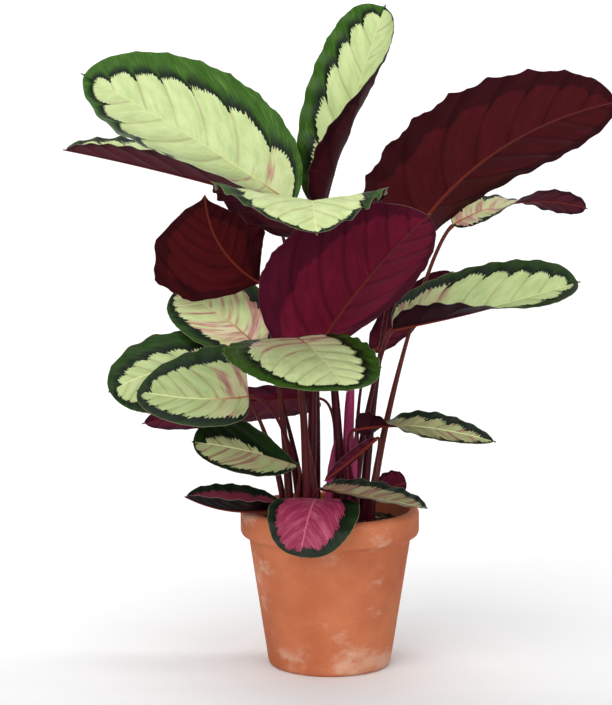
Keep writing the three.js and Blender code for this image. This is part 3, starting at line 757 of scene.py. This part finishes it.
def makeStalk(leaf):
    form = stalkForm
    at, along, up, _ = (values[0] for values in midrib(leaf, np.array([0.0])))
    end = at - along * form["gap"] - up * leafForm["ribDepth"] / 2
    root = np.array([*leaf["root"], soilTop], float)
    rise, bend = root + (0, 0, leaf["rise"]), end - along * leaf["bend"]
    t = np.linspace(0, 1, form["rings"])
    u = t[:, None]
    curve = (1 - u) ** 3 * root + 3 * u * (1 - u) ** 2 * rise + 3 * u ** 2 * (1 - u) * bend + u ** 3 * end
    sheath = smooth(form["sheathFrom"], form["sheathEnd"], t)
    joint = smooth(1 - form["swellLength"], 1 - form["swellLength"] / 2, t)
    radii = form["sheathRadius"] + (form["topRadius"] - form["sheathRadius"]) * sheath
    radii = leaf["stout"] * (radii + (form["swell"] - form["topRadius"]) * joint)
    centres = np.concatenate([[root - (0, 0, form["buried"])], curve])
    radii = np.concatenate([[radii[0]], radii])

    def sheathFold(height, angles):
        # the sheath's two margins meet in a shallow groove along one side
        lower = 1 - smooth(form["foldFrom"], form["foldEnd"], height)
        return 1 - form["foldDepth"] * lower * np.exp(-((angles - math.pi) / form["foldWidth"]) ** 2)

    name = leaf["name"]
    piece = tubePiece(name + "_leafstalk", centres, radii, form["sides"], stalkSkin, sheathFold, leaf["tan"])
    standFor(piece, name + "_stalk")


rolledLeaves = [
    dict(name="new_leaf_left", root=(-1, -13), top=(5, -14, 231), radius=3.9),
    dict(name="new_leaf_right", root=(22, -13), top=(26, -16, 240), radius=4.8),
    dict(name="new_leaf_tall", root=(18, 12), top=(24, 10, 326), radius=5.6),
]
rolledForm = {"heights": (0, 0.15, 0.35, 0.6, 0.82, 1), "shares": (0.7, 0.85, 1, 0.85, 0.55, 0.12),
              "straight": 0.6, "buried": 6, "rings": 60, "sides": 28, "overlap": 0.14, "turns": 0.8}


def makeRolledLeaf(young):
    form = rolledForm
    foot = np.array([*young["root"], soilTop], float)
    top = np.array(young["top"], float)
    above = np.array([foot[0], foot[1], foot[2] + form["straight"] * (top[2] - foot[2])])
    t = np.linspace(0, 1, form["rings"])
    u = t[:, None]
    curve = (1 - u) ** 2 * foot + 2 * u * (1 - u) * above + u ** 2 * top
    radii = young["radius"] * np.interp(t, form["heights"], form["shares"])
    centres = np.concatenate([[foot - (0, 0, form["buried"])], curve])
    radii = np.concatenate([[radii[0]], radii])

    def overlap(height, angles):
        # the blade is rolled up on itself, so its margin runs round as a low step
        turn = (angles / (2 * math.pi) + form["turns"] * height) % 1
        return 1 + form["overlap"] * (turn - 0.5)

    piece = tubePiece(young["name"] + "_rolled", centres, radii, form["sides"], rolledSkin, overlap)
    standFor(piece, young["name"])


stalkColours = palette(foot=(104, 20, 48), low=(74, 12, 26), middle=(60, 9, 17), high=(74, 16, 20),
                       top=(90, 30, 26), tan=(112, 52, 34), blotch=(96, 24, 40), fibre=(38, 10, 18))
rolledColours = palette(foot=(150, 60, 96), low=(172, 44, 100), high=(150, 34, 84), top=(96, 26, 52),
                        fibre=(104, 22, 58))


def fibreAlong(scale):
    # fine noise drawn out along the height
    x, y, z = parted(place())
    return noise(joined(x, y, times(z, 0.05)), scale)


def makeStalkSkin():
    colours = stalkColours
    material, shader = newMaterial("stalkSkin", Specular_IOR_Level=0.12)
    height, tan = mapped("height")
    fibre = fibreAlong(900.0)
    colour = ramp(height, [(0.0, colours["foot"]), (0.12, colours["low"]), (0.4, colours["middle"]),
                                 (0.8, colours["high"]), (1.0, colours["top"])])
    colour = layered(colour, (tan, colours["tan"]),
                     (step(noise(place(), 30.0), 0.45, 0.75, 0.4), colours["blotch"]),
                     (step(fibre, 0.5, 0.8, 0.4), colours["fibre"]))
    dress(shader, colour, step(fibre, 0.3, 0.8, 0.5, 0.32), fibre, 0.0004, 0.4)
    return material


def makeRolledSkin():
    colours = rolledColours
    material, shader = newMaterial("rolledLeafSkin", Specular_IOR_Level=0.25)
    fibre = fibreAlong(800.0)
    colour = ramp(mapped("height")[0], [(0.0, colours["foot"]), (0.3, colours["low"]),
                                                    (0.75, colours["high"]), (1.0, colours["top"])])
    colour = mixed(step(fibre, 0.45, 0.75, 0.5), colour, colours["fibre"])
    dress(shader, colour, step(fibre, 0.3, 0.8, 0.5, 0.34), fibre, 0.0004, 0.4)
    return material


# the pot and its soil

potForm = {
    "height": 160, "rimRadius": 90, "collarHeight": 26, "collarProud": 4, "footRadius": 62,
    "wall": 6, "floor": 9, "edge": 3, "corner": 4, "sides": 180,
    "softRadius": 2.4, "softSteps": 5, "longestCut": 4,
    "drains": 4, "drainRadius": 6, "drainRing": 30, "drainSides": 48, "drillBeyond": 5,
}
clayColours = palette(dark=(176, 96, 62), light=(196, 116, 78), grain=(140, 72, 46), bloom=(222, 190, 166))


def potRadius(z, wall=0):
    foot, top = potForm["footRadius"], potForm["rimRadius"] - potForm["collarProud"]
    return foot + (top - foot) * (z / potForm["height"]) - wall


def softened(corners):
    # a profile whose inner corners are rounded, each with a short arc, then cut into short lengths
    corners = np.array(corners, float)
    line = [corners[0]]
    for before, corner, after in zip(corners, corners[1:], corners[2:]):
        back, on = before - corner, after - corner
        cut = min(potForm["softRadius"], np.linalg.norm(back) * 0.45, np.linalg.norm(on) * 0.45)
        start, end = corner + unit(back) * cut, corner + unit(on) * cut
        for t in np.linspace(0, 1, potForm["softSteps"]):
            line.append((1 - t) ** 2 * start + 2 * t * (1 - t) * corner + t ** 2 * end)
    line.append(corners[-1])
    fine = []
    for one, two in zip(line, line[1:]):
        pieces = max(1, int(np.linalg.norm(two - one) / potForm["longestCut"]))
        fine += [one + (two - one) * k / pieces for k in range(pieces)]
    return np.array(fine + [line[-1]])


def turnedPiece(name, profile, sides):
    # a closed turned body: the profile starts and ends on the axis
    inner = np.array(profile[1:-1], float)
    angles = np.linspace(0, 2 * math.pi, sides, endpoint=False)
    rings = np.stack([np.outer(inner[:, 0], np.cos(angles)), np.outer(inner[:, 0], np.sin(angles)),
                      np.repeat(inner[:, 1][:, None], sides, axis=1)], axis=-1)
    points = np.concatenate([rings.reshape(-1, 3), [[0, 0, profile[0][1]], [0, 0, profile[-1][1]]]])
    count = len(inner)
    first, last = len(points) - 2, len(points) - 1
    faces = []
    for s in range(sides):
        following = (s + 1) % sides
        faces.append((first, following, s))
        faces.append((last, (count - 1) * sides + s, (count - 1) * sides + following))
        for k in range(count - 1):
            a, b = k * sides + s, k * sides + following
            faces.append((a, b, b + sides, a + sides))
    return makePiece(name, points, faces, [clay])


def makePot():
    form = potForm
    height, floor, edge, corner = form["height"], form["floor"], form["edge"], form["corner"]
    rim, foot, wall = form["rimRadius"], form["footRadius"], form["wall"]
    collar = height - form["collarHeight"]
    profile = softened([
        (0, 0), (foot - edge, 0), (foot, edge), (potRadius(collar - edge), collar - edge),
        (rim - edge / 2, collar), (rim, collar + edge), (rim, height - edge), (rim - edge, height),
        (potRadius(height, wall) + edge / 2, height), (potRadius(height - edge, wall), height - edge),
        (potRadius(floor + corner, wall), floor + corner), (potRadius(floor, wall) - corner, floor),
        (0, floor)])
    piece = turnedPiece("clay_pot", profile, form["sides"])
    radius, low, high = form["drainRadius"], -form["drillBeyond"], floor + form["drillBeyond"]
    for k in range(form["drains"]):
        angle = 2 * math.pi * (k + 0.5) / form["drains"]
        drill = turnedPiece("drill", [(0, low), (radius, low), (radius, high), (0, high)], form["drainSides"])
        drill.location = Vector((math.cos(angle), math.sin(angle), 0)) * form["drainRing"] * mm
        hole = piece.modifiers.new("drain", "BOOLEAN")
        hole.operation = "DIFFERENCE"
        hole.object = drill
        bpy.context.view_layer.objects.active = piece
        bpy.ops.object.modifier_apply(modifier=hole.name)
        bpy.data.objects.remove(drill)
    piece.data.set_sharp_from_angle(angle=math.radians(50))
    standFor(piece, "pot")


def makeClay():
    colours = clayColours
    material, shader = newMaterial("firedClay", Specular_IOR_Level=0.25)
    at = place()
    x, y, z = parted(at)
    grain = noise(at, 420.0, 4.0, 0.65)
    cloud = noise(at, 14.0, 3.0, 0.55)
    rings = noise(joined(0.0, 0.0, z), 260.0, 3.0, 0.6)
    patch = noise(joined(x, y, times(z, 1.6)), 22.0, 4.0, 0.62)
    bloom = step(plus(patch, step(z, 0.0, 0.05, 0.0, 0.14)), 0.55, 0.78, 0.5)
    colour = layered(colours["dark"],
                     (step(cloud, 0.3, 0.7), colours["light"]),
                     (step(grain, 0.55, 0.75, 0.3), colours["grain"]),
                     (bloom, colours["bloom"]))
    relief = plus(times(grain, 0.5), rings)
    dress(shader, colour, step(grain, 0.3, 0.7, 0.92, 0.72), relief, 0.0006, 0.5)
    return material


soilForm = {
    "mound": 3, "clearance": 0.6, "depth": 30, "rings": 60, "sides": 150, "unevenness": 1.6, "seed": 7,
    # crumbs, bark chips and grit: how many, smallest and largest, and how flat
    "lumps": [(620, 1.2, 3.4, 0.8), (130, 3.0, 6.5, 0.4), (70, 1.2, 2.6, 0.85)],
    "sunk": 0.15,  # how far up a lump's middle stands, as a share of its size
}


def lumpCorners():
    # the twelve corners of a body of twenty faces
    golden = (1 + math.sqrt(5)) / 2
    corners = []
    for a in (-1, 1):
        for b in (-golden, golden):
            corners += [(0, a, b), (a, b, 0), (b, 0, a)]
    return np.array(corners, float)


def lump(draw, size, flat):
    # a small irregular body, pressed flat, turned and tilted
    corners = unit(lumpCorners()) * size
    corners *= np.array([[draw.uniform(0.75, 1.2)] for _ in corners])
    corners *= (draw.uniform(0.7, 1.3), draw.uniform(0.7, 1.1), flat)
    turn, tilt = draw.uniform(0, 6.283), draw.uniform(-0.6, 0.6)
    c, s = math.cos(turn), math.sin(turn)
    ct, st = math.cos(tilt), math.sin(tilt)
    spin = np.array([(c, -s * ct, s * st), (s, c * ct, -c * st), (0, st, ct)])
    return corners @ spin.T


def lumpFaces():
    base = [Vector(corner) for corner in lumpCorners()]
    faces = []
    for i in range(12):
        for j in range(i + 1, 12):
            for k in range(j + 1, 12):
                one, two, three = base[i], base[j], base[k]
                if max((one - two).length, (two - three).length, (one - three).length) < 2.1:
                    outward = (two - one).cross(three - one).dot(one + two + three) > 0
                    faces.append((i, j, k) if outward else (i, k, j))
    return faces


def soilHeight(radius, x, y):
    mound = soilForm["mound"] * (1 - (radius / potRadius(soilTop, potForm["wall"])) ** 2)
    ripple = np.sin(x * 0.31 + 1.3 * np.sin(y * 0.23)) + np.sin(y * 0.37 + 1.7 * np.sin(x * 0.19 + 2))
    return float(soilTop - soilForm["mound"] + mound + 0.25 * soilForm["unevenness"] * ripple)


def makeSoil():
    form = soilForm
    sides, low = form["sides"], soilTop - form["depth"]
    draw = random.Random(form["seed"])
    outer = potRadius(soilTop - form["mound"], potForm["wall"]) - form["clearance"]
    lowRadius = potRadius(low, potForm["wall"]) - form["clearance"]
    circle = [(math.cos(2 * math.pi * k / sides), math.sin(2 * math.pi * k / sides)) for k in range(sides)]
    points, faces = [(0.0, 0.0, soilHeight(0, 0, 0))], []
    for ring in range(1, form["rings"] + 1):
        radius = outer * ring / form["rings"]
        for c, s in circle:
            x, y = radius * c, radius * s
            rough = draw.uniform(-0.5, 0.5) * form["unevenness"] * (ring < form["rings"])
            points.append((x, y, soilHeight(radius, x, y) + rough))
    points += [(lowRadius * c, lowRadius * s, low) for c, s in circle]
    for k in range(sides):
        faces.append((0, 1 + k, 1 + (k + 1) % sides))
        for ring in range(form["rings"]):
            a, b = 1 + ring * sides + k, 1 + ring * sides + (k + 1) % sides
            faces.append((a, a + sides, b + sides, b))
    faces.append(tuple(1 + form["rings"] * sides + k for k in reversed(range(sides))))
    kinds = [0] * len(faces)
    triangles = lumpFaces()
    for kind, (count, small, large, flat) in enumerate(form["lumps"]):
        for _ in range(count):
            radius = (outer - large - 1) * math.sqrt(draw.random())
            angle = draw.uniform(0, 2 * math.pi)
            x, y = radius * math.cos(angle), radius * math.sin(angle)
            size = draw.uniform(small, large)
            body = lump(draw, size, flat) + (x, y, soilHeight(radius, x, y) + size * form["sunk"])
            faces += [tuple(len(points) + corner for corner in triangle) for triangle in triangles]
            points += body.tolist()
            kinds += [kind] * len(triangles)
    piece = makePiece("potting_soil", points, faces, [earth, bark, grit], kinds, sharp=35)
    standFor(piece, "soil")


def makeCrumb(name, dark, light, roughness):
    material, shader = newMaterial(name, Specular_IOR_Level=0.2)
    at = place()
    fleck = noise(at, 260.0, 4.0, 0.65)
    share = plus(times(fleck, 0.6), times(noise(at, 60.0), 0.4))
    colour = ramp(share, [(0.35, linear(*dark)), (0.7, linear(*light))])
    dress(shader, colour, step(fleck, 0.3, 0.7, roughness, roughness - 0.1), fleck, 0.0012, 0.7)
    return material


# the studio floor, rising into a backdrop in one soft sweep

def makeFloor():
    width, depth, height, bend = (studio["sweep" + key] for key in ("Width", "Depth", "Height", "Bend"))
    steps = studio["sweepSteps"]
    line = [(-studio["sweepFront"], 0.0)]
    for k in range(steps + 1):
        angle = math.pi / 2 * k / steps
        line.append((depth - bend + bend * math.sin(angle), bend - bend * math.cos(angle)))
    line.append((depth, height))
    points = [(x / mm, y / mm, z / mm) for y, z in line for x in (-width, width)]
    faces = [(2 * k, 2 * k + 1, 2 * k + 3, 2 * k + 2) for k in range(len(line) - 1)]
    makePiece("studio_floor", points, faces, [paper])


def makePaper():
    material, shader = newMaterial("palePaper", Specular_IOR_Level=0.1, Roughness=0.9)
    low = tuple(share * studio["floorGrain"] for share in studio["floorColour"])
    plug(shader.inputs["Base Color"], mixed(noise(place(), 300.0), low, studio["floorColour"]))
    return material


makeCamera()
makeLights()
paper = makePaper()
makeFloor()
print("studio ready")

upperSide, lowerSide = makeUpperSide(), makeLowerSide()
for number, leaf in enumerate(leaves):
    makeBlade(leaf, number)
print("leaf blades ready:", len(leaves))

stalkSkin, rolledSkin = makeStalkSkin(), makeRolledSkin()
for leaf in leaves:
    makeStalk(leaf)
for young in rolledLeaves:
    makeRolledLeaf(young)
print("stalks and rolled leaves ready")

clay = makeClay()
makePot()
earth = makeCrumb("peat", (24, 17, 13), (64, 46, 34), 0.95)
bark = makeCrumb("barkChip", (52, 32, 20), (112, 76, 50), 0.9)
grit = makeCrumb("paleGrit", (168, 160, 146), (224, 220, 208), 0.9)
makeSoil()
print("pot and soil ready")
